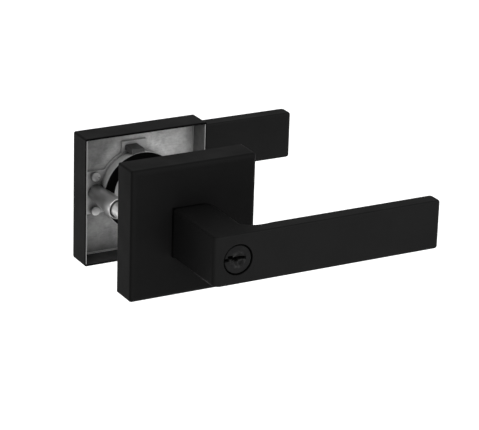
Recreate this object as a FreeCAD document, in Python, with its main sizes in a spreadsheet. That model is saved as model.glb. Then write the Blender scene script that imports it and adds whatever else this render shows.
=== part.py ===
import FreeCAD, Part
import Sketcher
import os, math
from FreeCAD import Vector, Placement, Rotation

# Lever handle lockset, millimetres.
# Origin on the spindle axis at the middle of the door. +X runs along the levers,
# +Y from the outside half (key side) to the inside half (button side), +Z is up.

doc = FreeCAD.newDocument("lever_lockset")
sheet = doc.addObject("Spreadsheet::Sheet", "Sizes")
row = [0]


class Size:
    """A number that remembers the spreadsheet expression it came from."""

    def __init__(self, value, text):
        self.value = float(value)
        self.text = text

    def _two(self, other, sign, a, b):
        if not isinstance(other, Size):
            other = Size(other, "%.6f" % other)
        left, right = (self, other) if not b else (other, self)
        value = {"+": left.value + right.value, "-": left.value - right.value,
                 "*": left.value * right.value,
                 "/": left.value / right.value if right.value else 0.0}[sign]
        return Size(value, "(%s %s %s)" % (left.text, sign, right.text))

    def __add__(self, o): return self._two(o, "+", 0, 0)
    def __radd__(self, o): return self._two(o, "+", 0, 1)
    def __sub__(self, o): return self._two(o, "-", 0, 0)
    def __rsub__(self, o): return self._two(o, "-", 0, 1)
    def __mul__(self, o): return self._two(o, "*", 0, 0)
    def __rmul__(self, o): return self._two(o, "*", 0, 1)
    def __truediv__(self, o): return self._two(o, "/", 0, 0)
    def __neg__(self): return Size(-self.value, "(0 - %s)" % self.text)


def cell(alias, value, words):
    row[0] += 1
    sheet.set("A%d" % row[0], words)
    sheet.set("B%d" % row[0], str(value))
    sheet.setAlias("B%d" % row[0], alias)
    return Size(value, "Sizes." + alias)


def val(q):
    return q.value if isinstance(q, Size) else float(q)


def bind(obj, prop, q):
    if isinstance(q, Size):
        obj.setExpression(prop, q.text)
    return val(q)


# ---- sizes -----------------------------------------------------------------
door_half = cell("door_half", 18.25, "half the door thickness, rose rims rest here")
rose_side = cell("rose_side", 66.7, "side of the square rose (2-5/8 in)")
rose_face = cell("rose_face", 33.65, "distance of the rose's outer face from mid-door")
rose_wall = cell("rose_wall", 1.0, "side wall of the rose")
rose_front = cell("rose_front", 1.2, "front wall of the rose")
rose_soft = cell("rose_soft", 2.4, "rounding of the rose's front edges")
rose_corner = cell("rose_corner", 1.0, "rounding of the rose's four side corners")
hub_hole_r = cell("hub_hole_r", 10.6, "hole for the bush through rose, plate and cage")

plate_r = cell("plate_r", 20.0, "mounting plate disc radius")
plate_thick = cell("plate_thick", 1.5, "mounting plate thickness")
ear_reach = cell("ear_reach", 32.25, "reach of the plate's side ears")
ear_half = cell("ear_half", 11.2, "half height of the ears")
post_x = cell("post_x", 21.6, "distance of the posts from the spindle axis")
bolt_clear_r = cell("bolt_clear_r", 2.3, "clearance hole for the through bolts")

cover_face = cell("cover_face", 22.0, "door side of the cage cover, from mid-door")
cage_mouth = cell("cage_mouth", 23.0, "door-side mouth of the spring cage, from mid-door")
cage_mouth_r = cell("cage_mouth_r", 20.7, "outer radius of the cage at its mouth")
cage_foot_r = cell("cage_foot_r", 18.9, "outer radius of the cage at the plate")
cage_wall = cell("cage_wall", 1.0, "wall and floor of the cage")
notch_r = cell("notch_r", 4.7, "scallop in the cage around each post")
cover_in_r = cell("cover_in_r", 15.8, "inner radius of the cage cover")
cover_r = cell("cover_r", 20.3, "outer radius of the cage cover")
lug_half = cell("lug_half", 5.2, "half width of the tongue under the stop block")
lug_left = cell("lug_left", -5.6, "near side of the stop block")
lug_right = cell("lug_right", 1.2, "far side of the stop block")
lug_reach = cell("lug_reach", 8.3, "how far the stop block stands off the plate")
tongue_top = cell("tongue_top", 24.5, "top of the plate's tongue")
lug_top = cell("lug_top", 22.8, "height of the stop block")

bush_in_r = cell("bush_in_r", 9.85, "inner radius of the rose bush")

lever_face = cell("lever_face", 77.7, "lever front face from mid-door")
lever_tip = cell("lever_tip", 111.6, "lever tip from the spindle axis")
lever_tall = cell("lever_tall", 25.1, "height of the lever bar")
arm_thick = cell("arm_thick", 9.1, "thickness of the lever arm")
neck_left = cell("neck_left", 12.3, "flat side of the neck, from the axis")
neck_right = cell("neck_right", 14.1, "rounded side of the neck, from the axis")
neck_gap = cell("neck_gap", 2.2, "gap between rose face and neck")
neck_round = cell("neck_round", 11.0, "rounding along the neck's arm side")
elbow_r = cell("elbow_r", 9.0, "inside radius where neck meets arm")
tip_round = cell("tip_round", 2.2, "plan radius at the tip's front edge")
tip_back = cell("tip_back", 2.0, "plan radius at the tip's back edge")
lever_soft = cell("lever_soft", 1.3, "softening of the lever's edges")
hub_round = cell("hub_round", 3.8, "plan radius at the front corner over the spindle")

sleeve_r = cell("sleeve_r", 9.5, "drive sleeve outer radius")
sleeve_in_r = cell("sleeve_in_r", 8.2, "drive sleeve bore radius")
sleeve_end = cell("sleeve_end", 48.0, "end of the drive sleeve inside the neck")
driver_start = cell("driver_start", 22.2, "door side of the spring driver")
driver_thick = cell("driver_thick", 1.2, "spring driver thickness")
driver_r = cell("driver_r", 15.4, "spring driver radius")

core_r = cell("core_r", 8.4, "cylinder body radius")
core_bore_r = cell("core_bore_r", 6.7, "cylinder body bore radius")
core_back = cell("core_back", 49.7, "back of the cylinder body")
core_front = cell("core_front", 75.7, "front of the cylinder body")
bible_top = cell("bible_top", 11.2, "pin stack housing reach")
bible_half = cell("bible_half", 4.4, "pin stack housing half width")
face_hole_r = cell("face_hole_r", 7.75, "hole in the lever face around the plug")
plug_face_r = cell("plug_face_r", 6.95, "plug face radius")
plug_r = cell("plug_r", 6.35, "plug body radius")
plug_front = cell("plug_front", 77.4, "plug face from mid-door")
key_right = cell("key_right", 4.3, "keyway's inner end")
key_tall = cell("key_tall", 1.8, "keyway height")
key_z = cell("key_z", 0.4, "keyway centre height")
pin_r = cell("pin_r", 1.4, "pin radius")
pin_first = cell("pin_first", 70.5, "first pin from mid-door")
pin_pitch = cell("pin_pitch", 3.8, "pin spacing")

spindle_side = cell("spindle_side", 8.0, "square spindle across flats")
spindle_bore_r = cell("spindle_bore_r", 3.1, "round bore through the spindle")
spring_r = cell("spring_r", 15.6, "return spring mean radius")
spring_wire_r = cell("spring_wire_r", 0.65, "return spring wire radius")
button_r = cell("button_r", 6.0, "turn button radius")

doc.recompute()


# ---- small builders ----------------------------------------------------------
def put(obj, x=None, y=None, z=None, rot=None):
    base = Vector(val(x or 0), val(y or 0), val(z or 0))
    obj.Placement = Placement(base, rot or Rotation())
    for name, q in (("x", x), ("y", y), ("z", z)):
        if isinstance(q, Size):
            obj.setExpression("Placement.Base." + name, q.text)
    return obj


ALONG_Y = Rotation(Vector(1, 0, 0), -90)
ALONG_X = Rotation(Vector(0, 1, 0), 90)


def block(name, x0, x1, y0, y1, z0, z1):
    b = doc.addObject("Part::Box", name)
    for prop, lo, hi in (("Length", x0, x1), ("Width", y0, y1), ("Height", z0, z1)):
        d = hi - lo
        setattr(b, prop, val(d))
        bind(b, prop, d)
    return put(b, x0, y0, z0)


def _cyl(name, r, a, b):
    c = doc.addObject("Part::Cylinder", name)
    c.Radius = val(r)
    c.Height = val(b - a)
    bind(c, "Radius", r)
    bind(c, "Height", b - a)
    return c


def rod(name, r, y0, y1, x=0, z=0):
    return put(_cyl(name, r, y0, y1), x, y0, z, ALONG_Y)


def rod_x(name, r, x0, x1, y=0, z=0):
    return put(_cyl(name, r, x0, x1), x0, y, z, ALONG_X)


def rod_z(name, r, z0, z1, x=0, y=0):
    return put(_cyl(name, r, z0, z1), x, y, z0)


def cut(name, base, tool):
    c = doc.addObject("Part::Cut", name)
    c.Base, c.Tool = base, tool
    return c


def fuse(name, parts):
    f = doc.addObject("Part::MultiFuse", name)
    f.Shapes = parts
    return f


def mirror(name, source):
    m = doc.addObject("Part::Mirroring", name)
    m.Source = source
    m.Base = Vector(0, 0, 0)
    m.Normal = Vector(0, 1, 0)
    return m


def plane(body, role):
    return [f for f in body.Origin.OriginFeatures if f.Role == role][0]


def sketch_on(body, role, name, offset=None):
    s = body.newObject("Sketcher::SketchObject", name)
    s.AttachmentSupport = [(plane(body, role), "")]
    s.MapMode = "FlatFace"
    if offset is not None:
        s.AttachmentOffset = Placement(Vector(0, 0, val(offset)), Rotation())
        bind(s, "AttachmentOffset.Base.z", offset)
    return s


def datum(s, constraint, q):
    i = s.addConstraint(constraint)
    if isinstance(q, Size):
        s.renameConstraint(i, "c%d" % i)
        s.setExpression("Constraints.c%d" % i, q.text)


def loop(s, points):
    """Closed outline through points (u, v); every corner is dimensioned from the origin."""
    n = len(points)
    pv = [Vector(val(u), val(v), 0) for u, v in points]
    first = s.GeometryCount
    for i in range(n):
        s.addGeometry(Part.LineSegment(pv[i], pv[(i + 1) % n]), False)
    for i in range(n):
        s.addConstraint(Sketcher.Constraint("Coincident", first + i, 2, first + (i + 1) % n, 1))
    for i, (u, v) in enumerate(points):
        for kind, q, axis in (("DistanceX", u, -2), ("DistanceY", v, -1)):
            if val(q) == 0:
                s.addConstraint(Sketcher.Constraint("PointOnObject", first + i, 1, axis))
            else:
                datum(s, Sketcher.Constraint(kind, first + i, 1, val(q)), q)


def ring(s, u, v, r):
    g = s.addGeometry(Part.Circle(Vector(val(u), val(v), 0), Vector(0, 0, 1), val(r)), False)
    datum(s, Sketcher.Constraint("Radius", g, val(r)), r)
    for kind, q, axis in (("DistanceX", u, -2), ("DistanceY", v, -1)):
        if val(q) == 0:
            s.addConstraint(Sketcher.Constraint("PointOnObject", g, 3, axis))
        else:
            datum(s, Sketcher.Constraint(kind, g, 3, val(q)), q)


def turned(name, points):
    """Body turned about the Y axis from an outline of (radius, y)."""
    b = doc.addObject("PartDesign::Body", name)
    s = sketch_on(b, "XY_Plane", name + "_profile")
    loop(s, points)
    r = b.newObject("PartDesign::Revolution", name + "_turn")
    r.Profile = s
    r.ReferenceAxis = (s, ["V_Axis"])
    r.Angle = 360
    b.Tip = r
    return b


def tube(name, r_in, r_out, y0, y1):
    return turned(name, [(r_in, y0), (r_out, y0), (r_out, y1), (r_in, y1)])


def pad_y(body, s, name, length, y_up=True):
    p = body.newObject("PartDesign::Pad", name)
    p.Profile = s
    p.Length = val(length)
    p.Reversed = y_up
    bind(p, "Length", length)
    body.Tip = p
    return p


# ---- roses: square box shells -------------------------------------------------
half = rose_side / 2
rose_body = doc.addObject("PartDesign::Body", "rose_shell")
s = sketch_on(rose_body, "XZ_Plane", "rose_outline", -door_half)
loop(s, [(-half, -half), (half, -half), (half, half), (-half, half)])
rose_pad = pad_y(rose_body, s, "rose_block", rose_face - door_half)
doc.recompute()


def edges_where(shape, test):
    out = []
    for i, e in enumerate(shape.Edges, 1):
        m = e.valueAt((e.FirstParameter + e.LastParameter) / 2)
        if test(e, m):
            out.append("Edge%d" % i)
    return out


block_shape = rose_body.Shape
f = rose_body.newObject("PartDesign::Fillet", "rose_side_corners")
f.Base = (rose_pad, edges_where(block_shape, lambda e, m: abs(abs(m.x) - half.value) < 1e-4
                                      and abs(abs(m.z) - half.value) < 1e-4))
f.Radius = rose_corner.value
bind(f, "Radius", rose_corner)
rose_body.Tip = f
doc.recompute()
f2 = rose_body.newObject("PartDesign::Fillet", "rose_front_edges")
f2.Base = (f, edges_where(f.Shape, lambda e, m: abs(m.y - rose_face.value) < 1e-4))
f2.Radius = rose_soft.value
bind(f2, "Radius", rose_soft)
rose_body.Tip = f2
doc.recompute()
s = sketch_on(rose_body, "XZ_Plane", "rose_hollow", -door_half)
inner = half - rose_wall
loop(s, [(-inner, -inner), (inner, -inner), (inner, inner), (-inner, inner)])
p = rose_body.newObject("PartDesign::Pocket", "rose_inside")
p.Profile = s
p.Length = val(rose_face - door_half - rose_front)
bind(p, "Length", rose_face - door_half - rose_front)
rose_body.Tip = p
doc.recompute()
s = sketch_on(rose_body, "XZ_Plane", "rose_hub_hole", -door_half)
ring(s, 0, 0, hub_hole_r)
p = rose_body.newObject("PartDesign::Pocket", "rose_hub")
p.Profile = s
p.Type = "ThroughAll"
rose_body.Tip = p
doc.recompute()

outside_rose = mirror("outside_rose", rose_body)
holes = fuse("rose_bolt_holes", [
    rod("rose_bolt_hole_a", bolt_clear_r, rose_face - 3, rose_face + 1, post_x, 0),
    rod("rose_bolt_hole_b", bolt_clear_r, rose_face - 3, rose_face + 1, -post_x, 0)])
inside_rose = cut("inside_rose", rose_body, holes)

# ---- mounting plates -----------------------------------------------------------
plate_out = rose_face - rose_front          # plate lies on the rose's inner face
plate_in = plate_out - plate_thick
plate_body = doc.addObject("PartDesign::Body", "plate_disc")
s = sketch_on(plate_body, "XZ_Plane", "plate_outline", -plate_in)
ring(s, 0, 0, plate_r)
pad_y(plate_body, s, "plate_blank", plate_thick)
ears = block("plate_ears", -ear_reach, ear_reach, plate_in, plate_out, -ear_half, ear_half)
# a narrow tongue carries the stop block above the cage
tongue = block("plate_tongue", -lug_half - 2.0, lug_half + 1.0, plate_in, plate_out, 0, tongue_top)
plate_solid = fuse("plate_solid", [plate_body, ears, tongue])
plate_cuts = fuse("plate_cuts", [
    rod("plate_hub_hole", hub_hole_r, plate_in - 2, plate_out + 1),
    rod("plate_bolt_a", bolt_clear_r, plate_in - 1, plate_out + 1, post_x, 0),
    rod("plate_bolt_b", bolt_clear_r, plate_in - 1, plate_out + 1, -post_x, 0)])
inside_plate = cut("inside_mounting_plate", plate_solid, plate_cuts)
plate_cuts_out = rod("plate_hub_hole_out", hub_hole_r, plate_in - 2, plate_out + 1)
outside_plate_blank = cut("outside_plate_blank", plate_solid, plate_cuts_out)
outside_plate = mirror("outside_mounting_plate", outside_plate_blank)

# stop blocks riveted on the tongues, just above the cages
stop_blank = block("stop_blank", lug_left, lug_right, plate_in - lug_reach, plate_in, cage_foot_r + 0.6, lug_top)
doc.recompute()
inside_stop = doc.addObject("Part::Fillet", "stop_soft")
inside_stop.Base = stop_blank
inside_stop.Edges = [(i, 0.6, 0.6) for i, e in enumerate(stop_blank.Shape.Edges, 1)
                     if e.valueAt((e.FirstParameter + e.LastParameter) / 2).z > lug_top.value - 0.1
                     and e.valueAt((e.FirstParameter + e.LastParameter) / 2).y < plate_in.value - 1]
stop_cage_clear = rod("stop_cage_clear", cage_mouth_r + 0.15, 0, rose_face)
inside_stop_cut = cut("inside_stop_block", inside_stop, stop_cage_clear)
outside_stop = mirror("outside_stop_block", inside_stop_cut)

# ---- spring cages --------------------------------------------------------------
floor = plate_in - cage_wall
cup = turned("cage_cup", [
    (hub_hole_r, floor), (cage_foot_r - cage_wall - 0.2, floor), (cage_mouth_r - cage_wall, cage_mouth),
    (cage_mouth_r, cage_mouth), (cage_foot_r, plate_in), (hub_hole_r, plate_in)])
post_notches = fuse("cage_notches", [
    rod("cage_notch_a", notch_r, cover_face - 1, plate_in + 1, post_x, 0),
    rod("cage_notch_b", notch_r, cover_face - 1, plate_in + 1, -post_x, 0)])
# two lugs on the floor hold the spring's outer leg at the top
anchor = fuse("cage_anchor", [
    block("cage_anchor_a", -3.4, -1.0, floor - 2.4, floor + 0.2, 17.0, cage_foot_r - 0.6),
    block("cage_anchor_b", 1.0, 3.4, floor - 2.4, floor + 0.2, 17.0, cage_foot_r - 0.6)])
cage_all = fuse("cage_all", [cup, anchor])
inside_cage = cut("inside_spring_cage", cage_all, post_notches)
outside_cage = mirror("outside_spring_cage", inside_cage)

cover_ring = turned("cover_ring", [
    (cover_in_r, cover_face), (cover_r - 0.3, cover_face), (cover_r, cover_face + 0.3), (cover_r, cage_mouth),
    (cover_in_r, cage_mouth)])
inside_cover = cut("inside_cage_cover", cover_ring, post_notches)
outside_cover = mirror("outside_cage_cover", inside_cover)

inside_bush = tube("inside_rose_bush", bush_in_r, hub_hole_r, floor, rose_face)
outside_bush = mirror("outside_rose_bush", inside_bush)

# ---- posts and through bolts ----------------------------------------------------
post_mouth = cell("post_mouth", 5.0, "free end of the sleeve posts")
post_mouth_r = cell("post_mouth_r", 5.2, "sleeve post radius at its free end")
post_foot_r = cell("post_foot_r", 4.2, "sleeve post radius at the plate")
thread_post_r = cell("thread_post_r", 4.05, "threaded post radius")
thread_post_end = cell("thread_post_end", 12.0, "free end of the threaded posts")
bolt_r = cell("bolt_r", 1.95, "through bolt radius")
bolt_head_r = cell("bolt_head_r", 3.9, "through bolt head radius")
doc.recompute()

sleeve_post = turned("sleeve_post", [
    (4.3, post_mouth + 0.3), (4.6, post_mouth), (post_mouth_r - 0.15, post_mouth), (post_mouth_r, post_mouth + 0.15),
    (post_mouth_r, post_mouth + 1.6), (post_foot_r, plate_in), (bolt_clear_r, plate_in),
    (bolt_clear_r, 14.0), (4.3, 14.0)])


def pair(name, source):
    out = doc.addObject("Part::Compound", name)
    items = []
    for tag, sx in (("right", 1), ("left", -1)):
        c = doc.addObject("Part::Feature", name + "_" + tag)
        shape = source.Shape.copy()
        c.Shape = shape
        put(c, post_x * sx, 0, 0)
        items.append(c)
    out.Links = items
    return out


doc.recompute()
sleeve_posts = pair("sleeve_posts", sleeve_post)
thread_post = turned("thread_post", [
    (bolt_r, -12.0), (0, -13.0), (0, -plate_in), (thread_post_r + 0.5, -plate_in),
    (thread_post_r + 0.5, -plate_in + 2.0), (thread_post_r, -plate_in + 2.6),
    (thread_post_r, thread_post_end - 0.5), (thread_post_r - 0.5, thread_post_end), (bolt_r, thread_post_end)])
bolt = turned("bolt", [
    (0, -6.0), (bolt_r - 0.5, -6.0), (bolt_r, -5.5), (bolt_r, rose_face), (bolt_head_r, rose_face),
    (bolt_head_r, rose_face + 1.1), (bolt_head_r - 1.1, rose_face + 2.1), (0, rose_face + 2.3)])
slot_a = block("bolt_slot_a", -2.2, 2.2, rose_face + 1.0, rose_face + 3, -0.45, 0.45)
slot_b = block("bolt_slot_b", -0.45, 0.45, rose_face + 1.0, rose_face + 3, -2.2, 2.2)
bolt_cross = fuse("bolt_cross", [slot_a, slot_b])
bolt_one = cut("bolt_one", bolt, bolt_cross)
doc.recompute()
threaded_posts = pair("threaded_posts", thread_post)
through_bolts = pair("through_bolts", bolt_one)

# ---- riveted studs on the plates ---------------------------------------------------
stud_x = cell("stud_x", 22.7, "plate stud from the axis, along the lever")
stud_z = cell("stud_z", 9.0, "plate stud height")
stud_head_r = cell("stud_head_r", 2.45, "plate stud head radius")
doc.recompute()
stud = turned("stud", [
    (0, plate_in), (1.4, plate_in), (1.4, plate_in - 1.6), (stud_head_r, plate_in - 1.6),
    (stud_head_r, plate_in - 2.5), (stud_head_r - 0.25, plate_in - 2.85), (stud_head_r - 1.0, plate_in - 3.0),
    (0, plate_in - 3.05)])
doc.recompute()
studs = []
for i, (sx, sz) in enumerate(((1, 1), (1, -1), (-1, 1), (-1, -1))):
    c = doc.addObject("Part::Feature", "stud_%d" % i)
    c.Shape = stud.Shape.copy()
    put(c, stud_x * sx, 0, stud_z * sz)
    studs.append(c)
inside_studs = doc.addObject("Part::Compound", "inside_plate_studs")
inside_studs.Links = studs
outside_studs = mirror("outside_plate_studs", inside_studs)

# ---- return springs: coil with one leg out to the cage and one in to the driver -----
coil_turns = 3.0
spring_in = driver_start + driver_thick + spring_wire_r + 0.4
helix = doc.addObject("Part::Helix", "spring_path")
helix.Radius = spring_r.value
bind(helix, "Radius", spring_r)
coil_rise = floor - spring_in - spring_wire_r - 0.35
helix.Pitch = val(coil_rise) / coil_turns
bind(helix, "Pitch", coil_rise / coil_turns)
helix.Height = val(coil_rise)
bind(helix, "Height", coil_rise)
# start of the coil at the top of the cage
turn_up = Rotation(Vector(0, 1, 0), -90) * Rotation(Vector(1, 0, 0), -90)
put(helix, 0, spring_in, 0, turn_up)
doc.recompute()
wire_section = doc.addObject("Part::Circle", "spring_section")
wire_section.Radius = spring_wire_r.value
bind(wire_section, "Radius", spring_wire_r)
start = helix.Shape.Edges[0].valueAt(helix.Shape.Edges[0].FirstParameter)
way = helix.Shape.Edges[0].tangentAt(helix.Shape.Edges[0].FirstParameter)
wire_section.Placement = Placement(start, Rotation(Vector(0, 0, 1), way))
sweep = doc.addObject("Part::Sweep", "spring_coil")
sweep.Sections = [wire_section]
sweep.Spine = (helix, ["Edge1"])
sweep.Solid = True
sweep.Frenet = True
doc.recompute()
leg_in = rod_z("spring_leg_in", spring_wire_r, 12.3, spring_r, 0, spring_in)
leg_out = rod_z("spring_leg_out", spring_wire_r, spring_r, 19 - 1.2, 0, spring_in + coil_rise)
bends = []
for tag, y in (("in", spring_in), ("out", spring_in + coil_rise)):
    b = doc.addObject("Part::Sphere", "spring_bend_" + tag)
    b.Radius = spring_wire_r.value
    bind(b, "Radius", spring_wire_r)
    put(b, 0, y, spring_r)
    bends.append(b)
inside_spring = fuse("inside_return_spring", [sweep, leg_in, leg_out] + bends)
outside_spring = mirror("outside_return_spring", inside_spring)

# ---- spring drivers --------------------------------------------------------------------
driver_disc = turned("driver_disc", [
    (0, driver_start), (driver_r, driver_start), (driver_r, driver_start + driver_thick),
    (sleeve_in_r, driver_start + driver_thick), (sleeve_in_r, driver_start + 5.0), (0, driver_start + 5.0)])
dogs = fuse("driver_dogs", [
    block("driver_dog_a", -3.2, -1.0, driver_start + driver_thick - 0.1, driver_start + 4.6, 12.2, 14.4),
    block("driver_dog_b", 1.0, 3.2, driver_start + driver_thick - 0.1, driver_start + 4.6, 12.2, 14.4)])
driver_solid = fuse("driver_solid", [driver_disc, dogs])
hs = spindle_side / 2
square_tight = block("driver_square", -hs, hs, driver_start - 1, driver_start + 6, -hs, hs)
inside_driver = cut("inside_spring_driver", driver_solid, square_tight)
hl = hs + 0.4
square_loose = block("driver_square_free", -hl, hl, driver_start - 1, driver_start + 6, -hl, hl)
outside_driver_blank = cut("outside_driver_blank", driver_solid, square_loose)
outside_driver = mirror("outside_spring_driver", outside_driver_blank)

# ---- drive sleeves, rings, washers --------------------------------------------------------
sleeve_start = driver_start + driver_thick
ring_y = cell("ring_y", 28.2, "retaining ring groove from mid-door")
doc.recompute()
inside_sleeve = turned("inside_drive_sleeve", [
    (sleeve_in_r, sleeve_start), (sleeve_r, sleeve_start), (sleeve_r, ring_y), (sleeve_r - 0.4, ring_y),
    (sleeve_r - 0.4, ring_y + 1.0), (sleeve_r, ring_y + 1.0), (sleeve_r, sleeve_end), (sleeve_in_r, sleeve_end)])
sleeve_blank = turned("outside_sleeve_blank", [
    (sleeve_in_r, sleeve_start), (sleeve_r, sleeve_start), (sleeve_r, ring_y), (sleeve_r - 0.4, ring_y),
    (sleeve_r - 0.4, ring_y + 1.0), (sleeve_r, ring_y + 1.0), (sleeve_r, sleeve_end), (sleeve_in_r, sleeve_end)])
catch_r = cell("catch_r", 1.8, "lever catch radius")
catch_y = cell("catch_y", 43.0, "lever catch from mid-door")
doc.recompute()
sleeve_window = rod_z("sleeve_window", catch_r, -10.5, -7.5, 0, catch_y)
outside_sleeve_half = cut("outside_sleeve_cut", sleeve_blank, sleeve_window)
outside_sleeve = mirror("outside_drive_sleeve", outside_sleeve_half)

ring_full = tube("ring_full", sleeve_r - 0.4, 11.6, ring_y, ring_y + 1.0)
ring_slit = block("ring_slit", -5.0, 5.0, ring_y - 1, ring_y + 2, -13, -4)
inside_ring = cut("inside_retaining_ring", ring_full, ring_slit)
outside_ring = mirror("outside_retaining_ring", inside_ring)
inside_washer = tube("inside_thrust_washer", sleeve_r, 13.2, ring_y + 1.0, ring_y + 1.45)
outside_washer = mirror("outside_thrust_washer", inside_washer)

# ---- levers -----------------------------------------------------------------------------------
lever_body = doc.addObject("PartDesign::Body", "lever_bar")
s = sketch_on(lever_body, "XY_Plane", "lever_plan")
neck_y = rose_face + neck_gap
arm_back = lever_face - arm_thick
loop(s, [(-neck_left, neck_y), (neck_right, neck_y), (neck_right, arm_back), (lever_tip, arm_back),
         (lever_tip, lever_face), (-neck_left, lever_face)])
p = lever_body.newObject("PartDesign::Pad", "lever_blank")
p.Profile = s
p.Length = lever_tall.value
p.Midplane = True
bind(p, "Length", lever_tall)
lever_body.Tip = p
doc.recompute()


def soften(name, radius, test):
    base = lever_body.Tip
    names = edges_where(base.Shape, test)
    f = lever_body.newObject("PartDesign::Fillet", name)
    f.Base = (base, names)
    f.Radius = radius.value
    bind(f, "Radius", radius)
    lever_body.Tip = f
    doc.recompute()
    return f


def upright(e):
    a, b = e.Vertexes[0].Point, e.Vertexes[-1].Point
    return abs(a.x - b.x) < 1e-6 and abs(a.y - b.y) < 1e-6 and abs(a.z - b.z) > 1


soften("lever_elbow", elbow_r, lambda e, m: upright(e) and abs(m.x - neck_right.value) < 1e-4
       and abs(m.y - arm_back.value) < 1e-4)
soften("lever_tip_front", tip_round, lambda e, m: upright(e) and abs(m.x - lever_tip.value) < 1e-4
       and abs(m.y - lever_face.value) < 1e-4)
soften("lever_hub_front", hub_round, lambda e, m: upright(e) and abs(m.x + neck_left.value) < 1e-4
       and abs(m.y - lever_face.value) < 1e-4)
soften("lever_tip_back", tip_back, lambda e, m: upright(e) and abs(m.x - lever_tip.value) < 1e-4
       and abs(m.y - arm_back.value) < 1e-4)

# the neck is rounded on its arm side; the rounding dies away through the elbow
rounded = doc.addObject("Part::Fillet", "lever_rounded")
rounded.Base = lever_body
big, small = neck_round.value, lever_soft.value
chain = []
for i, e in enumerate(lever_body.Shape.Edges, 1):
    a, b = e.Vertexes[0].Point, e.Vertexes[-1].Point
    if abs(abs(a.z) - lever_tall.value / 2) > 1e-4 or abs(a.z - b.z) > 1e-4:
        continue
    m = e.valueAt((e.FirstParameter + e.LastParameter) / 2)
    if abs(m.x - neck_right.value) < 1e-4:
        chain.append((i, big, big))
    elif m.y < lever_face.value - 3 and neck_right.value < m.x < neck_right.value + elbow_r.value and e.Length < 20:
        p0 = e.valueAt(e.FirstParameter)
        chain.append((i, big, small) if abs(p0.x - neck_right.value) < 1e-4 else (i, small, big))
    elif abs(m.y - neck_y.value) > 1e-4:
        chain.append((i, small, small))
rounded.Edges = chain
doc.recompute()

# cavity shared by both levers: seat for the drive sleeve
seat = rod("lever_sleeve_seat", sleeve_r, neck_y - 1, sleeve_end + 0.5)
well = rod("lever_well", core_r + 0.2, sleeve_end - 1, core_front)
face_hole = rod("lever_face_hole", face_hole_r, core_front - 1, lever_face + 1)
slot = block("lever_bible_slot", 0, bible_top + 0.7, neck_y - 1, core_front, -bible_half - 0.2, bible_half + 0.2)
catch_seat = rod_z("lever_catch_seat", catch_r, -11.2, -8.0, 0, catch_y)
poke = rod_z("lever_poke_hole", 0.9, -14.0, -10.0, 0, catch_y)
outside_cavity = fuse("outside_lever_cavity", [seat, well, face_hole, slot, catch_seat, poke])
outside_lever_half = cut("outside_lever_half", rounded, outside_cavity)
outside_lever = mirror("outside_lever", outside_lever_half)

# nylon bearing plates of the neck's own outline fill the gap to the rose
washer_in = cell("washer_in", 0.1, "bearing plate inset from the neck outline")
washer_thick = cell("washer_thick", 1.9, "bearing plate thickness")
doc.recompute()
washer_box = block("neck_washer_box", -neck_left + washer_in, neck_right - washer_in, neck_y - washer_thick, neck_y,
                   -lever_tall / 2 + washer_in, lever_tall / 2 - washer_in)
doc.recompute()
washer_round = doc.addObject("Part::Fillet", "neck_washer_round")
washer_round.Base = washer_box
washer_round.Edges = [(i, neck_round.value - washer_in.value, neck_round.value - washer_in.value)
                      for i, e in enumerate(washer_box.Shape.Edges, 1)
                      if abs(e.Vertexes[0].Point.y - e.Vertexes[-1].Point.y) > 0.1
                      and e.Vertexes[0].Point.x > 0]
inside_bearing = cut("inside_neck_bearing", washer_round, rod("neck_washer_bore", sleeve_r, rose_face, neck_y + 1))
outside_bearing = mirror("outside_neck_bearing", inside_bearing)

bush_r = cell("bush_r", 7.2, "button bush radius")
well_end = cell("well_end", 74.7, "end of the well behind the inside lever's face")
screw_y = cell("screw_y", 43.0, "set screw from mid-door")
screw_r = cell("screw_r", 2.5, "set screw radius")
doc.recompute()
in_well = rod("inside_lever_well", core_r + 0.2, sleeve_end - 1, well_end)
in_face = rod("inside_face_hole", bush_r, well_end - 1, lever_face + 1)
screw_hole = rod_z("inside_screw_hole", screw_r, -14.0, -9.0, 0, screw_y)
seat_in = rod("inside_sleeve_seat", sleeve_r, neck_y - 1, sleeve_end + 0.5)
inside_cavity = fuse("inside_lever_cavity", [seat_in, in_well, in_face, screw_hole])
inside_lever = cut("inside_lever", rounded, inside_cavity)

# ---- outside lever's lock cylinder ---------------------------------------------------------------
core_shell = tube("core_shell", core_bore_r, core_r, core_back, core_front)
bible = block("core_bible", core_bore_r + 0.1, bible_top, core_back, core_front, -bible_half, bible_half)
bible_bore = rod("core_bible_bore", core_bore_r, core_back - 1, core_front + 1)
core_solid = fuse("core_solid", [core_shell, cut("core_bible_cut", bible, bible_bore)])
pin_ys = [pin_first - pin_pitch * i for i in range(5)]
chambers = fuse("core_chambers", [rod_x("core_chamber_%d" % i, pin_r, 5.0, bible_top + 1, y, 0)
                                  for i, y in enumerate(pin_ys)])
core_half = cut("core_half", core_solid, chambers)
cylinder_body = mirror("cylinder_body", core_half)
pin_cover_half = block("pin_cover_half", bible_top, bible_top + 0.5, core_back + 3, core_front - 3, -3.2, 3.2)
pin_cover = mirror("cylinder_pin_cover", pin_cover_half)


def many(name, items):
    c = doc.addObject("Part::Compound", name)
    c.Links = items
    return c


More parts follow.
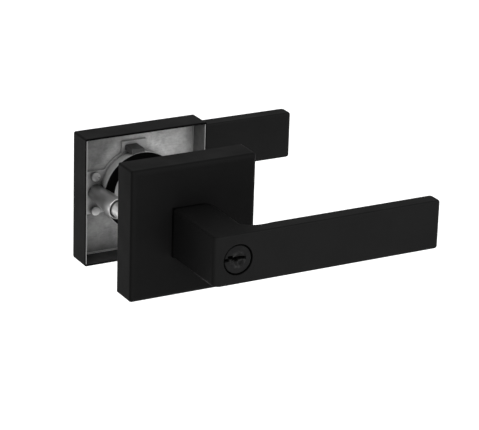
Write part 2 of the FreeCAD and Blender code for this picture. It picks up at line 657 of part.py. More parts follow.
driver_pins_half = many("driver_pins_half", [
    rod_x("driver_pin_%d" % i, pin_r, 6.85, 8.6, y, 0) for i, y in enumerate(pin_ys)])
driver_pins = mirror("driver_pins", driver_pins_half)
doc.recompute()
pin_helix = doc.addObject("Part::Helix", "pin_spring_path")
pin_helix.Radius = 1.05
pin_helix.Pitch = 0.55
pin_helix.Height = 2.2
pin_helix.Placement = Placement(Vector(0, 0, 0), ALONG_X)
doc.recompute()
he = pin_helix.Shape.Edges[0]
pin_section = doc.addObject("Part::Circle", "pin_spring_section")
pin_section.Radius = 0.17
pin_section.Placement = Placement(he.valueAt(he.FirstParameter), Rotation(Vector(0, 0, 1), he.tangentAt(he.FirstParameter)))
pin_coil = doc.addObject("Part::Sweep", "pin_spring_coil")
pin_coil.Sections = [pin_section]
pin_coil.Spine = (pin_helix, ["Edge1"])
pin_coil.Solid = True
pin_coil.Frenet = True
doc.recompute()
pin_springs = []
for i, y in enumerate(pin_ys):
    c = doc.addObject("Part::Feature", "pin_spring_%d" % i)
    c.Shape = pin_coil.Shape.copy()
    put(c, 8.8, y, 0)
    pin_springs.append(c)
driver_springs_half = many("driver_springs_half", pin_springs)
driver_springs = mirror("driver_springs", driver_springs_half)
catch_half = rod_z("lever_catch_half", catch_r - 0.0, -11.0, -8.3, 0, catch_y)
lever_catch = mirror("lever_catch", catch_half)

# ---- key plug ----------------------------------------------------------------------------------------
plug_back = cell("plug_back", 48.5, "back boss of the plug")
doc.recompute()
plug_turned = turned("plug_turned", [
    (0, plug_back), (5.0, plug_back), (5.0, core_back - 0.4), (plug_r, core_back - 0.4),
    (plug_r, core_front + 0.05), (plug_face_r, core_front + 0.05), (plug_face_r, plug_front - 0.25),
    (plug_face_r - 0.25, plug_front), (4.2, plug_front), (1.7, plug_front - 1.0), (0, plug_front - 1.1)])
kz0, kz1 = key_z - key_tall / 2, key_z + key_tall / 2
key_slot = block("keyway_slot", -8.0, key_right, plug_back + 3.0, plug_front + 1, kz0, kz1)
ward_up = block("keyway_ward_up", -5.5, -2.3, plug_back + 3.0, plug_front + 1, kz1 - 0.1, kz1 + 1.2)
ward_fill = block("keyway_ward_fill", -4.6, -3.3, plug_back + 3.0, plug_front, kz0 - 0.1, kz0 + 0.95)
ward_dn = block("keyway_ward_down", -1.4, 0.7, plug_back + 3.0, plug_front + 1, kz0 - 0.75, kz0 + 0.1)
keyway = cut("keyway", fuse("keyway_all", [key_slot, ward_up, ward_dn]), ward_fill)
plug_chambers = fuse("plug_chambers", [rod_x("plug_chamber_%d" % i, pin_r, 0.4, 8.0, y, 0)
                                       for i, y in enumerate(pin_ys)])
plug_cut = fuse("plug_cut", [keyway, plug_chambers])
plug_half = cut("plug_half", plug_turned, plug_cut)
key_plug = mirror("key_plug", plug_half)
lengths = (4.2, 3.0, 3.7, 2.8, 3.4)
key_pins_half = many("key_pins_half", [
    rod_x("key_pin_%d" % i, pin_r, 6.2 - lengths[i], 6.2, y, 0) for i, y in enumerate(pin_ys)])
key_pins = mirror("key_pins", key_pins_half)
clip_half = tube("plug_clip_half", 5.0, 7.3, plug_back + 0.05, core_back - 0.45)
plug_clip = mirror("plug_clip", clip_half)
tail_tip = cell("tail_tip", 24.0, "end of the tailpiece, on the inside")
doc.recompute()
tail_head = rod("tail_head", 4.6, -plug_back, -plug_back + 0.9)
tail_blade = block("tail_blade", -2.3, 2.3, -plug_back, tail_tip - 3.0, -0.7, 0.7)
tail_end = block("tail_end", -1.7, 1.7, tail_tip - 3.2, tail_tip, -0.5, 0.5)
tailpiece = fuse("tailpiece", [tail_head, tail_blade, tail_end])

# ---- spindle -----------------------------------------------------------------------------------------------
spindle_out = cell("spindle_out", -27.0, "outside end of the spindle")
spindle_in = cell("spindle_in", 47.0, "inside end of the spindle")
doc.recompute()
bar = block("spindle_bar", -hs, hs, spindle_out, spindle_in, -hs, hs)
bar_soft = doc.addObject("Part::Chamfer", "spindle_edges")
doc.recompute()
bar_soft.Base = bar
bar_soft.Edges = [(i, 0.4, 0.4) for i, e in enumerate(bar.Shape.Edges, 1)
                  if abs(e.Vertexes[0].Point.y - e.Vertexes[-1].Point.y) > 1]
spindle = cut("spindle", bar_soft, rod("spindle_bore", spindle_bore_r, spindle_out - 1, spindle_in + 1))

# ---- inside lever's fittings ------------------------------------------------------------------------------------
grub = rod_z("grub_blank", screw_r, -12.3, -9.5, 0, screw_y)
hexagon = doc.addObject("Part::Prism", "grub_hex")
hexagon.Polygon = 6
hexagon.Circumradius = 1.45
hexagon.Height = 1.9
put(hexagon, 0, screw_y, -12.8)
inside_set_screw = cut("inside_set_screw", grub, hexagon)
button_bush = turned("button_bush", [
    (3.4, well_end - 1.2), (core_r, well_end - 1.2), (core_r, well_end), (bush_r, well_end),
    (bush_r, lever_face - 0.2), (bush_r - 0.2, lever_face), (button_r + 0.35, lever_face),
    (button_r + 0.35, well_end), (3.4, well_end)])

# ---- turn button --------------------------------------------------------------------------------------------------
btn = turned("button_turned", [
    (0, 71.5), (3.0, 71.5), (3.0, well_end + 0.8), (button_r, well_end + 0.8), (button_r, lever_face + 0.3),
    (button_r - 0.5, lever_face + 0.8), (0, lever_face + 0.8)])
grip = block("button_grip", -1.5, 1.5, lever_face + 0.5, lever_face + 4.0, -5.0, 5.0)
doc.recompute()
grip_soft = doc.addObject("Part::Fillet", "button_grip_soft")
grip_soft.Base = grip
grip_soft.Edges = [(i, 0.6, 0.6) for i, e in enumerate(grip.Shape.Edges, 1)
                   if e.valueAt((e.FirstParameter + e.LastParameter) / 2).y > lever_face.value + 0.6]
turn_button = fuse("turn_button", [btn, grip_soft])
button_clip_full = tube("button_clip_full", 3.0, 5.2, well_end - 2.5, well_end - 1.6)
button_clip = cut("button_clip", button_clip_full, block("button_clip_slit", -1.6, 1.6, well_end - 4, well_end, -7, -2))
lock_bar = turned("lock_bar", [
    (0, 71.5), (2.2, 71.5), (2.2, tail_tip + 2.5), (2.7, tail_tip + 1.5), (2.7, tail_tip - 2.5),
    (2.15, tail_tip - 2.5), (2.15, tail_tip + 1.0), (0, tail_tip + 1.0)])

doc.recompute()

# ---- write the sub-parts -------------------------------------------------------------------------------------------
nodes = [outside_rose, inside_rose, outside_plate, inside_plate, outside_stop, inside_stop_cut, outside_cage, inside_cage, outside_cover,
         inside_cover, outside_bush, inside_bush, sleeve_posts, threaded_posts, through_bolts, outside_studs,
         inside_studs, outside_spring, inside_spring, outside_lever, outside_sleeve, outside_driver,
         outside_ring, outside_washer, outside_bearing, inside_bearing, cylinder_body, driver_pins, driver_springs, pin_cover, lever_catch,
         key_plug, key_pins, tailpiece, plug_clip, inside_lever, inside_sleeve, inside_driver, inside_ring,
         inside_washer, spindle, inside_set_screw, button_bush, turn_button, lock_bar, button_clip]

for obj in doc.Objects:
    if "Invalid" in obj.State or "Error" in obj.State:
        raise RuntimeError("%s: %s" % (obj.Name, obj.State))
os.makedirs("parts", exist_ok=True)
for obj in nodes:
    shape = obj.Shape
    if shape.isNull() or not shape.isValid() or not shape.Solids:
        raise RuntimeError("%s has no sound solid" % obj.Name)
    obj.Label = obj.Name
    shape.exportStep(os.path.join("parts", obj.Name + ".step"))
    print("%-26s solids %d volume %9.1f" % (obj.Name, len(shape.Solids), shape.Volume))
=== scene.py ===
import math

import bpy
from mathutils import Matrix, Vector


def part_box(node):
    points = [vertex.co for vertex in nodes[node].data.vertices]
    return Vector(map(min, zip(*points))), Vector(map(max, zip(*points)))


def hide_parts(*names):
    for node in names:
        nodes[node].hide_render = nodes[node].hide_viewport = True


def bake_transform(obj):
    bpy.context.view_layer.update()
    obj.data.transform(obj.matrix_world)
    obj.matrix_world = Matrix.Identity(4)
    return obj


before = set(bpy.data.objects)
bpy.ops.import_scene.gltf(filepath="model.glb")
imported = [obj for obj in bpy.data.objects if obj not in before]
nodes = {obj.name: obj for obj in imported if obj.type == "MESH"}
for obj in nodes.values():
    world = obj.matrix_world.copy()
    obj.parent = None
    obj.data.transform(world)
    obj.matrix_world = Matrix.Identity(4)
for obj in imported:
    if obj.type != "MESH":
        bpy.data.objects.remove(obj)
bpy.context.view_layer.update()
scene = bpy.context.scene
scene.view_settings.view_transform = "Standard"
scene.view_settings.look = "None"


# ---------------------------------------------------------------- node helpers
class Tree:
    """Small helper that builds a node material."""

    def __init__(self, name):
        self.mat = bpy.data.materials.new(name)
        self.mat.use_nodes = True
        self.t = self.mat.node_tree
        self.t.nodes.clear()
        self.out = self.add("ShaderNodeOutputMaterial")
        self.bsdf = self.add("ShaderNodeBsdfPrincipled")
        self.link(self.bsdf.outputs[0], self.out.inputs[0])
        self.pos = self.add("ShaderNodeTexCoord").outputs["Object"]

    def add(self, kind, **props):
        n = self.t.nodes.new(kind)
        for k, v in props.items():
            setattr(n, k, v)
        return n

    def link(self, a, b):
        self.t.links.new(a, b)

    def feed(self, socket, value):
        if hasattr(value, "is_output"):
            self.link(value, socket)
        else:
            socket.default_value = value

    def math(self, op, a, b=0.0, clamp=False):
        n = self.add("ShaderNodeMath", operation=op, use_clamp=clamp)
        self.feed(n.inputs[0], a)
        self.feed(n.inputs[1], b)
        return n.outputs[0]

    def scaled(self, x, y, z):
        """Object position stretched by a different amount on each axis."""
        m = self.add("ShaderNodeVectorMath", operation="MULTIPLY")
        self.link(self.pos, m.inputs[0])
        m.inputs[1].default_value = (x, y, z)
        return m.outputs[0]

    def noise(self, scale, detail=3.0, rough=0.55, vector=None, distortion=0.0):
        n = self.add("ShaderNodeTexNoise")
        self.link(vector or self.pos, n.inputs["Vector"])
        n.inputs["Scale"].default_value = scale
        n.inputs["Detail"].default_value = detail
        n.inputs["Roughness"].default_value = rough
        n.inputs["Distortion"].default_value = distortion
        return n.outputs["Fac"]

    def voronoi(self, scale, feature="F1", vector=None):
        n = self.add("ShaderNodeTexVoronoi", feature=feature)
        self.link(vector or self.pos, n.inputs["Vector"])
        n.inputs["Scale"].default_value = scale
        return n.outputs["Distance"]

    def ramp(self, fac, stops):
        n = self.add("ShaderNodeValToRGB")
        el = n.color_ramp.elements
        while len(el) < len(stops):
            el.new(0.5)
        for e, (p, c) in zip(el, stops):
            e.position = p
            e.color = c if len(c) == 4 else (*c, 1.0)
        self.link(fac, n.inputs[0])
        return n.outputs[0]

    def rng(self, fac, lo, hi, a=0.0, b=1.0):
        n = self.add("ShaderNodeMapRange")
        self.link(fac, n.inputs[0])
        n.inputs[1].default_value = a
        n.inputs[2].default_value = b
        n.inputs[3].default_value = lo
        n.inputs[4].default_value = hi
        return n.outputs[0]

    def mix(self, fac, a, b, kind="MIX"):
        n = self.add("ShaderNodeMix", data_type="RGBA", blend_type=kind)
        self.feed(n.inputs[0], fac)
        self.feed(n.inputs[6], a if hasattr(a, "is_output") or len(a) == 4 else (*a, 1.0))
        self.feed(n.inputs[7], b if hasattr(b, "is_output") or len(b) == 4 else (*b, 1.0))
        return n.outputs[2]

    def bump(self, height, strength, distance=0.0002, normal=None):
        n = self.add("ShaderNodeBump")
        n.inputs["Strength"].default_value = strength
        n.inputs["Distance"].default_value = distance
        self.link(height, n.inputs["Height"])
        if normal is not None:
            self.link(normal, n.inputs["Normal"])
        return n.outputs[0]

    def xyz(self, vector):
        n = self.add("ShaderNodeSeparateXYZ")
        self.link(vector, n.inputs[0])
        return n.outputs

    def object_normal(self):
        """Surface normal in the piece's own axes."""
        g = self.add("ShaderNodeNewGeometry")
        v = self.add("ShaderNodeVectorTransform", vector_type="NORMAL", convert_from="WORLD", convert_to="OBJECT")
        self.link(g.outputs["Normal"], v.inputs[0])
        return self.xyz(v.outputs[0])

    def edge(self, radius=0.0006, lo=0.02, hi=0.25):
        """1 on a sharp outer edge, 0 on flats."""
        b = self.add("ShaderNodeBevel", samples=6)
        b.inputs["Radius"].default_value = radius
        g = self.add("ShaderNodeNewGeometry")
        d = self.add("ShaderNodeVectorMath", operation="DOT_PRODUCT")
        self.link(b.outputs[0], d.inputs[0])
        self.link(g.outputs["Normal"], d.inputs[1])
        return self.rng(self.math("SUBTRACT", 1.0, d.outputs["Value"]), 0.0, 1.0, lo, hi)

    def crevice(self, reach=0.004, lo=0.25, hi=0.95):
        """0 deep in a corner, 1 in the open."""
        a = self.add("ShaderNodeAmbientOcclusion", samples=8)
        a.inputs["Distance"].default_value = reach
        return self.rng(a.outputs["AO"], 0.0, 1.0, lo, hi)

    def shine(self, color=None, rough=None, normal=None, metallic=0.0, spec=0.5, ior=1.45):
        b = self.bsdf
        if color is not None:
            self.feed(b.inputs["Base Color"], color)
        if rough is not None:
            self.feed(b.inputs["Roughness"], rough)
        if normal is not None:
            self.link(normal, b.inputs["Normal"])
        b.inputs["Metallic"].default_value = metallic
        b.inputs["Specular IOR Level"].default_value = spec
        b.inputs["IOR"].default_value = ior
        return self.mat


def paint(material, *names):
    for n in names:
        o = nodes[n]
        o.data.materials.clear()
        o.data.materials.append(material)


# ---------------------------------------------------------------- materials
def powder_coat(name, face, side, spec=0.02, rough=0.46):
    """Matte black powder coat: fine orange peel, faint cloudy tone; sides painted darker than fronts as shade, and
    edges painted lighter, partly thin coat and partly highlight.
    """
    t = Tree(name)
    n = t.object_normal()
    facing = t.math("ABSOLUTE", n[1])
    # painted shade: faces turned sideways get the darker side tone, fronts the lighter face tone
    painted_front_light = t.rng(facing, 0.0, 1.0, 0.35, 0.75)
    cloud = t.noise(28.0, 4.0, 0.6)
    base = t.mix(painted_front_light, (side,) * 3, (face,) * 3)
    bright = t.mix(painted_front_light, (side * 1.5,) * 3, (face * 1.35,) * 3)
    toned = t.mix(t.rng(cloud, 0.0, 1.0, 0.35, 0.7), base, bright)
    toned = t.mix(0.55, base, toned)
    speck = t.voronoi(2600.0)
    toned = t.mix(t.rng(speck, 0.14, 0.0, 0.0, 0.18), toned, (face * 2.2,) * 3)
    # edges lighter: partly thin worn coat, partly painted highlight
    edge_wear_and_highlight = t.math("MULTIPLY", t.edge(0.0005), t.rng(t.noise(90.0, 3.0), 0.25, 0.75, 0.35, 0.65))
    color = t.mix(t.math("MULTIPLY", edge_wear_and_highlight, 0.4), toned, (0.020, 0.020, 0.0205))
    peel = t.noise(2300.0, 2.0, 0.5)
    grit = t.noise(900.0, 2.0, 0.5)
    nrm = t.bump(grit, 0.10, 0.00005, t.bump(peel, 0.16, 0.00003))
    r = t.rng(t.noise(60.0, 3.0), rough - 0.05, rough + 0.06, 0.3, 0.7)
    return t, color, r, nrm, n, spec


def finish_coat(parts):
    t, color, r, nrm, n, spec = parts
    return t.shine(color, r, nrm, 0.0, spec)


lever_coat = finish_coat(powder_coat("powder_coat_lever", 0.0098, 0.0036))

# the roses carry the same coat outside; inside they are bare pressed steel
t, color, r, nrm, n, spec = powder_coat("powder_coat_rose", 0.0070, 0.0024)
p = t.xyz(t.pos)
depth = t.math("ABSOLUTE", p[1])
reach = t.math("MAXIMUM", t.math("ABSOLUTE", p[0]), t.math("ABSOLUTE", p[2]))
facing_door = t.math("MULTIPLY", n[1], t.math("SIGN", p[1]))
towards_door = t.rng(facing_door, 1.0, 0.0, -0.9, -0.5)
inside = t.math("LESS_THAN", reach, 0.03245)
back = t.math("MULTIPLY", towards_door, inside)
wall = t.math("MULTIPLY", t.math("MULTIPLY", inside, t.math("LESS_THAN", depth, 0.0328)),
              t.math("SUBTRACT", 1.0, towards_door, clamp=True))
# painted highlights: two thin bright lines where the folded wall meets the front; the wall is also lighter grey next
# to the front
highlight_line_a = t.math("MULTIPLY", t.math("GREATER_THAN", depth, 0.03205), t.math("LESS_THAN", depth, 0.0326))
highlight_line_b = t.math("MULTIPLY", t.math("GREATER_THAN", depth, 0.03045), t.math("LESS_THAN", depth, 0.0309))
fold = t.math("MULTIPLY", wall, t.math("GREATER_THAN", depth, 0.03045))
highlight_lines = t.math("MULTIPLY", wall, t.math("MAXIMUM", highlight_line_a, highlight_line_b))
# painted highlight: a light band on the sheared rim of the two upright walls, near its inner edge
on_rim = t.math("MULTIPLY", towards_door, t.math("LESS_THAN", depth, 0.0184))
upright = t.math("MULTIPLY", t.math("GREATER_THAN", t.math("ABSOLUTE", p[0]), 0.0322), t.math("LESS_THAN", t.math("ABSOLUTE", p[0]), 0.0327))
rim_highlight = t.math("MULTIPLY", t.math("MULTIPLY", on_rim, upright), t.math("LESS_THAN", t.math("ABSOLUTE", p[2]), 0.0322))
blot = t.noise(75.0, 5.0, 0.62, distortion=0.4)
scuff = t.noise(1.0, 4.0, 0.7, vector=t.scaled(260.0, 260.0, 2400.0))
steel = t.ramp(blot, [(0.28, (0.26, 0.26, 0.26)), (0.50, (0.44, 0.44, 0.437)), (0.72, (0.62, 0.62, 0.615))])
steel = t.mix(t.rng(scuff, 0.0, 0.35, 0.35, 0.7), steel, (0.70, 0.70, 0.695))
fine = t.rng(t.noise(520.0, 3.0, 0.6), 0.90, 1.06, 0.35, 0.65)
shade = t.add("ShaderNodeVectorMath", operation="SCALE")
t.link(steel, shade.inputs[0])
t.link(fine, shade.inputs["Scale"])
steel = shade.outputs[0]
# painted light and shade on the bare inside: brighter round the hub and towards +x, darker towards -x and the bottom;
# the wide noise is real tone
hub = t.math("SQRT", t.math("ADD", t.math("MULTIPLY", p[0], p[0]), t.math("MULTIPLY", p[2], p[2])))
painted_hub_light = t.rng(hub, 0.30, 0.0, 0.0205, 0.0265)
painted_side_light = t.rng(p[0], -0.34, 0.48, -0.018, 0.008)
low = t.rng(p[2], -0.22, 0.0, -0.0325, -0.0265)
wide = t.rng(t.noise(34.0, 2.0, 0.5), -0.30, 0.30, 0.30, 0.70)
light_and_tone_level = t.math("ADD", t.math("ADD", 1.0, painted_hub_light), t.math("ADD", t.math("ADD", painted_side_light, low), wide))
lit = t.add("ShaderNodeVectorMath", operation="SCALE")
t.link(steel, lit.inputs[0])
t.link(light_and_tone_level, lit.inputs["Scale"])
# painted shade: darker in corners and crevices
steel = t.mix(t.crevice(0.006, 0.15, 0.9), (0.10, 0.10, 0.10), lit.outputs[0])
# painted light: the upright side walls are lighter than the level ones; the thin and thick patches are overspray
painted_upright_light = t.math("GREATER_THAN", t.math("ABSOLUTE", p[0]), 0.0322)
thin = t.mix(painted_upright_light, (0.026, 0.026, 0.026), (0.088, 0.088, 0.088))
thick = t.mix(painted_upright_light, (0.042, 0.042, 0.042), (0.125, 0.125, 0.124))
overspray = t.mix(t.rng(t.noise(180.0, 4.0), 0.0, 1.0, 0.3, 0.7), thin, thick)
final = t.mix(wall, color, overspray)
final = t.mix(t.math("MULTIPLY", fold, 0.75), final, (0.30, 0.30, 0.30))
final = t.mix(highlight_lines, final, (0.62, 0.62, 0.615))
final = t.mix(on_rim, final, (0.0025, 0.0025, 0.0025))
final = t.mix(rim_highlight, final, (0.36, 0.36, 0.36))
final = t.mix(t.math("MULTIPLY", back, t.math("SUBTRACT", 1.0, on_rim, clamp=True)), final, steel)
bare = t.math("MAXIMUM", back, wall, clamp=True)
rough = t.add("ShaderNodeMix", data_type="FLOAT")
t.link(bare, rough.inputs[0])
t.link(r, rough.inputs[2])
rough.inputs[3].default_value = 0.55
t.shine(final, rough.outputs[0], nrm, 0.0, spec)
rose_coat = t.mat


def metal(name, dark, light, rough, stretch=(900, 60, 900), metallic=1.0, wear_and_sheen=0.25, bump=0.08, blot_scale=120.0, crevice_shade=0.0, painted_sheen=False):
    """Bare metal with a drawn or turned grain and cloudy oxide; edges painted brighter, partly rubbed wear and partly
    highlight; optional painted shade in crevices and a painted sheen near the middle of the door.
    """
    t = Tree(name)
    grain = t.noise(1.0, 3.0, 0.6, vector=t.scaled(*stretch))
    blot = t.noise(blot_scale, 4.0, 0.6)
    c = t.mix(t.rng(blot, 0.0, 1.0, 0.3, 0.7), (dark,) * 3 if not isinstance(dark, tuple) else dark,
              (light,) * 3 if not isinstance(light, tuple) else light)
    c = t.mix(t.rng(grain, 0.0, 0.35, 0.4, 0.65), c, (0.9, 0.9, 0.88), "MULTIPLY")
    if painted_sheen:
        # painted sheen: brighter towards the free ends, near the middle of the door
        free = t.rng(t.math("ABSOLUTE", t.xyz(t.pos)[1]), 0.75, 0.0, 0.0045, 0.0125)
        c = t.mix(free, c, (0.64, 0.64, 0.635))
    # edges lighter: partly rubbed wear, partly painted highlight
    c = t.mix(t.math("MULTIPLY", t.edge(0.0004), wear_and_sheen), c, (0.85, 0.85, 0.84))
    # painted shade: darker in crevices
    if crevice_shade:
        c = t.mix(t.rng(t.crevice(crevice_shade, 0.2, 0.85), 0.0, 1.0), (0.045, 0.045, 0.045), c)
    r = t.rng(blot, rough - 0.06, rough + 0.10, 0.3, 0.7)
    nrm = t.bump(grain, bump, 0.00005)
    return t.shine(c, r, nrm, metallic, 0.5)


bright = metal("bright_steel", 0.30, 0.52, 0.24, stretch=(700, 60, 700), metallic=0.92, wear_and_sheen=0.5, blot_scale=45.0, crevice_shade=0.004)
posts = metal("post_steel_painted_sheen", 0.30, 0.50, 0.31, stretch=(700, 60, 700), metallic=0.92, wear_and_sheen=0.7, blot_scale=45.0, crevice_shade=0.004, painted_sheen=True)
drawn = metal("drawn_bar_steel", 0.24, 0.40, 0.36, stretch=(900, 40, 900), metallic=0.85, wear_and_sheen=0.4, blot_scale=80.0, crevice_shade=0.003)
zinc = metal("passivated_zinc", 0.36, 0.50, 0.50, stretch=(300, 300, 300), metallic=0.35, wear_and_sheen=0.35, blot_scale=95.0)
cast = metal("cast_zinc", 0.48, 0.66, 0.46, stretch=(240, 240, 240), metallic=0.3, wear_and_sheen=0.3, blot_scale=70.0, crevice_shade=0.004)
dark = metal("sintered_steel", 0.045, 0.085, 0.55, stretch=(400, 400, 400), metallic=0.3, wear_and_sheen=0.25, blot_scale=150.0)
spring = metal("spring_steel", 0.28, 0.42, 0.32, wear_and_sheen=0.2)
# the key cylinder's shell is brass, but here it takes the black plastic finish; this brass goes on its pins and pin
# cover
brass = metal("brass", (0.55, 0.40, 0.16, 1), (0.72, 0.55, 0.26, 1), 0.30, wear_and_sheen=0.3)

# riveted studs: surfaces facing along the stud's axis, such as the heads, are painted light and the shanks painted
# dark, as light and shade; edges lighter, partly wear and partly painted highlight
t = Tree("stud_steel")
painted_lit_heads = t.math("ABSOLUTE", t.object_normal()[1])
c = t.mix(t.rng(t.noise(240.0, 4.0), 0.0, 1.0, 0.3, 0.7), (0.46, 0.46, 0.46), (0.70, 0.70, 0.695))
c = t.mix(t.rng(painted_lit_heads, 0.88, 0.0, 0.25, 0.80), c, (0.085, 0.085, 0.085))
c = t.mix(t.math("MULTIPLY", t.edge(0.0003), 0.6), c, (0.82, 0.82, 0.81))
studs = t.shine(c, t.rng(t.noise(500.0), 0.26, 0.40, 0.3, 0.7), t.bump(t.noise(1400.0, 3.0), 0.12, 0.00003), 0.7, 0.5)

# black plastic cage covers and bushes: fine spark-eroded grain
t = Tree("moulded_black_plastic")
g = t.noise(1500.0, 2.0, 0.5)
c = t.mix(t.rng(t.noise(60.0), 0.0, 1.0, 0.3, 0.7), (0.0006, 0.0006, 0.0006), (0.0022, 0.0022, 0.0022))
plastic = t.shine(c, t.rng(g, 0.5, 0.65, 0.3, 0.7), t.bump(g, 0.25, 0.00004), 0.0, 0.02)

# blackened plug, turned on the lathe: faint rings about the spindle axis
t = Tree("blackened_plug")
p = t.xyz(t.pos)
radius = t.math("SQRT", t.math("ADD", t.math("MULTIPLY", p[0], p[0]), t.math("MULTIPLY", p[2], p[2])))
rings = t.math("SINE", t.math("MULTIPLY", radius, 42000.0))
c = t.mix(t.rng(t.noise(160.0, 4.0), 0.0, 1.0, 0.3, 0.7), (0.0070, 0.0070, 0.0072), (0.0108, 0.0108, 0.0108))
# painted light and shade in the dished guide round the keyway: lighter and darker patches
guide = t.rng(radius, 1.0, 0.0, 0.0036, 0.0046)
painted_sheen = t.rng(t.noise(620.0, 3.0, 0.6), 0.0, 1.0, 0.42, 0.62)
c = t.mix(t.math("MULTIPLY", guide, painted_sheen), c, (0.030, 0.030, 0.030))
c = t.mix(t.math("MULTIPLY", guide, t.rng(t.noise(380.0, 2.0), 0.8, 0.0, 0.38, 0.52)), c, (0.004, 0.004, 0.004))
# edges lighter: partly wear, partly painted highlight
c = t.mix(t.math("MULTIPLY", t.edge(0.0003), 0.6), c, (0.03, 0.03, 0.03))
plug = t.shine(c, t.rng(t.noise(300.0), 0.34, 0.46, 0.3, 0.7), t.bump(rings, 0.12, 0.00002), 0.0, 0.06)

# black oxide on screws and small trim
t = Tree("black_oxide")
c = t.mix(t.rng(t.noise(200.0, 4.0), 0.0, 1.0, 0.3, 0.7), (0.010, 0.010, 0.0105), (0.022, 0.022, 0.022))
# edges lighter: partly wear, partly painted highlight
c = t.mix(t.math("MULTIPLY", t.edge(0.0003), 0.5), c, (0.09, 0.09, 0.09))
oxide = t.shine(c, t.rng(t.noise(500.0), 0.32, 0.46, 0.3, 0.7), t.bump(t.noise(1600.0), 0.15, 0.00003), 0.0, 0.4)

paint(lever_coat, "outside_lever", "inside_lever", "turn_button")
paint(rose_coat, "outside_rose", "inside_rose")
paint(plug, "key_plug")
paint(oxide, "through_bolts", "inside_set_screw", "button_bush")
paint(dark, "outside_stop_block", "inside_stop_block")
paint(plastic, "outside_neck_bearing", "inside_neck_bearing", "outside_cage_cover", "inside_cage_cover", "outside_rose_bush", "inside_rose_bush")
paint(cast, "outside_mounting_plate", "inside_mounting_plate", "outside_spring_cage", "inside_spring_cage")
paint(zinc, "outside_spring_driver", "inside_spring_driver")
paint(posts, "sleeve_posts", "threaded_posts")
paint(drawn, "spindle", "tailpiece", "lock_bar")
paint(studs, "outside_plate_studs", "inside_plate_studs")
paint(bright, "outside_drive_sleeve", "inside_drive_sleeve",
      "outside_thrust_washer", "inside_thrust_washer")
paint(spring, "outside_return_spring", "inside_return_spring", "outside_retaining_ring", "inside_retaining_ring",
      "driver_springs", "lever_catch", "plug_clip", "button_clip")
paint(plastic, "cylinder_body")
paint(brass, "driver_pins", "key_pins", "cylinder_pin_cover")

# ---------------------------------------------------------------- return springs
# One leg of each spring sits in its cage and the other between the dogs of the lever's driver, so the
# coil winds as the lever turns. The wire is swept along the path of the spring it stands for.
def wound_spring(name, node):
    low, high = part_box(node)
    wire, leg_start, turns, bend = 0.00065, 0.0123, 3, 0.0012
    mean = high[0] - wire
    inner, outer = (low[1] + wire, high[1] - wire) if high[1] > 0 else (high[1] - wire, low[1] + wire)
    leg_end = high[2] - 0.0003

    def coil(angle):
        return Vector((mean * math.sin(angle), inner + (outer - inner) * angle / (2 * math.pi * turns), mean * math.cos(angle)))

    def rounded(a, corner, b, steps=7):
        return [a.lerp(corner, k / steps).lerp(corner.lerp(b, k / steps), k / steps) for k in range(1, steps)]

    whole, skip = 2 * math.pi * turns, bend / mean
    path = [Vector((0, inner, leg_start)), Vector((0, inner, leg_start + 0.0001)), Vector((0, inner, mean - bend))]
    path += rounded(path[-1], Vector((0, inner, mean)), coil(skip))
    path += [coil(skip + (whole - 2 * skip) * k / 240) for k in range(241)]
    far = Vector((0, outer, mean + bend))
    path += rounded(path[-1], Vector((0, outer, mean)), far)
    path += [far, Vector((0, outer, leg_end - 0.0001)), Vector((0, outer, leg_end))]
    sides = 18
    side = Vector((0, 1, 0))
    points, faces = [], []
    for i, centre in enumerate(path):
        way = (path[min(i + 1, len(path) - 1)] - path[max(i - 1, 0)]).normalized()
        side = (side - way * side.dot(way)).normalized()
        other = way.cross(side)
        # the cut ends of the wire have a small chamfer
        radius = wire - 0.0001 if i in (0, len(path) - 1) else wire
        for k in range(sides):
            turn = 2 * math.pi * k / sides
            points.append(centre + side * radius * math.cos(turn) + other * radius * math.sin(turn))
    for i in range(len(path) - 1):
        for k in range(sides):
            n = (k + 1) % sides
            faces.append((i * sides + k, i * sides + n, (i + 1) * sides + n, (i + 1) * sides + k))
    faces.append(tuple(reversed(range(sides))))
    faces.append(tuple((len(path) - 1) * sides + k for k in range(sides)))
    mesh = bpy.data.meshes.new(name)
    mesh.from_pydata(points, [], faces)
    for f in mesh.polygons:
        f.use_smooth = len(f.vertices) == 4
    mesh.update()
    o = bpy.data.objects.new(name, mesh)
    scene.collection.objects.link(o)
    mesh.materials.append(spring)
    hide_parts(node)
    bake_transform(o)
    return o


wound_spring("outside_return_spring_wire", "outside_return_spring")
wound_spring("inside_return_spring_wire", "inside_return_spring")

# ---------------------------------------------------------------- floor, light, camera
# the set is held by a door, so the floor lies below the furthest reach of the turned levers
floor_z = -0.125
mesh = bpy.data.meshes.new("studio_floor")
mesh.from_pydata([(-40, -40, floor_z), (40, -40, floor_z), (40, 40, floor_z), (-40, 40, floor_z)], [], [(0, 1, 2, 3)])
floor = bpy.data.objects.new("studio_floor", mesh)
scene.collection.objects.link(floor)
t = Tree("studio_paper")
c = t.mix(t.noise(6.0, 2.0), (0.93, 0.93, 0.93), (0.95, 0.95, 0.95))
floor.data.materials.append(t.shine(c, 0.9, None, 0.0, 0.0))

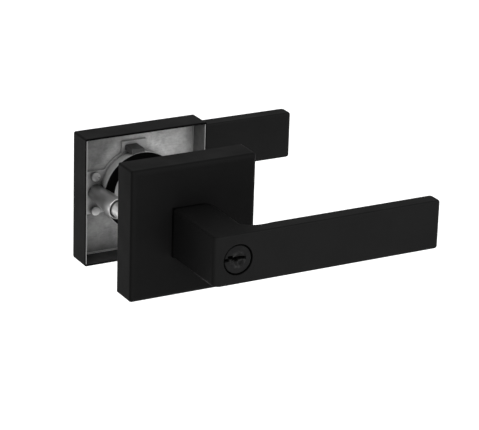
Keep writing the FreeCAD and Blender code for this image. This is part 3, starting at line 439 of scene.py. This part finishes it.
world = bpy.data.worlds.new("studio")
scene.world = world
world.use_nodes = True
wt = world.node_tree
background = wt.nodes["Background"]
sky = wt.nodes.new("ShaderNodeTexCoord")
split = wt.nodes.new("ShaderNodeSeparateXYZ")
wt.links.new(sky.outputs["Generated"], split.inputs[0])
lift = wt.nodes.new("ShaderNodeMapRange")
wt.links.new(split.outputs[2], lift.inputs[0])
lift.inputs[1].default_value = 0.0
lift.inputs[2].default_value = 1.0
lift.inputs[3].default_value = 0.34
lift.inputs[4].default_value = 1.70
wt.links.new(lift.outputs[0], background.inputs[1])
background.inputs[0].default_value = (1.0, 1.0, 1.0, 1.0)


def softbox(name, place, size, power, aim=(0.03, 0.0, 0.0)):
    light = bpy.data.lights.new(name, "AREA")
    light.shape = "RECTANGLE"
    light.size, light.size_y = size
    light.energy = power
    o = bpy.data.objects.new(name, light)
    o.location = place
    o.rotation_euler = (Vector(aim) - Vector(place)).to_track_quat("-Z", "Y").to_euler()
    scene.collection.objects.link(o)
    return o


softbox("key_softbox", (-1.1, -0.7, 0.9), (1.0, 1.0), 5.0)
softbox("fill_softbox", (0.8, -1.3, 0.5), (1.0, 1.0), 3.0)
softbox("top_softbox", (0.0, 0.3, 1.7), (1.6, 1.2), 3.0)
softbox("back_softbox", (-0.4, 1.5, 0.8), (1.2, 0.8), 2.0)

azimuth, elevation, roll = math.radians(-29.27), math.radians(20.77), math.radians(1.84)
distance, target = 1.20027, Vector((0.04343, 0.0, -0.01149))
back = Vector((math.sin(azimuth) * math.cos(elevation), -math.cos(azimuth) * math.cos(elevation), math.sin(elevation)))
right = (-back).cross(Vector((0, 0, 1))).normalized()
up = right.cross(-back)
r2 = right * math.cos(roll) + up * math.sin(roll)
u2 = up * math.cos(roll) - right * math.sin(roll)
eye = target + back * distance
cam = bpy.data.cameras.new("camera")
cam.sensor_width = 36.0
cam.sensor_fit = "HORIZONTAL"
cam.lens = 2396.48 / 479.0 * 36.0
cam.clip_start, cam.clip_end = 0.05, 100.0
camera = bpy.data.objects.new("camera", cam)
m = Matrix((r2, u2, back)).transposed().to_4x4()
m.translation = eye
camera.matrix_world = m
scene.collection.objects.link(camera)
scene.camera = camera
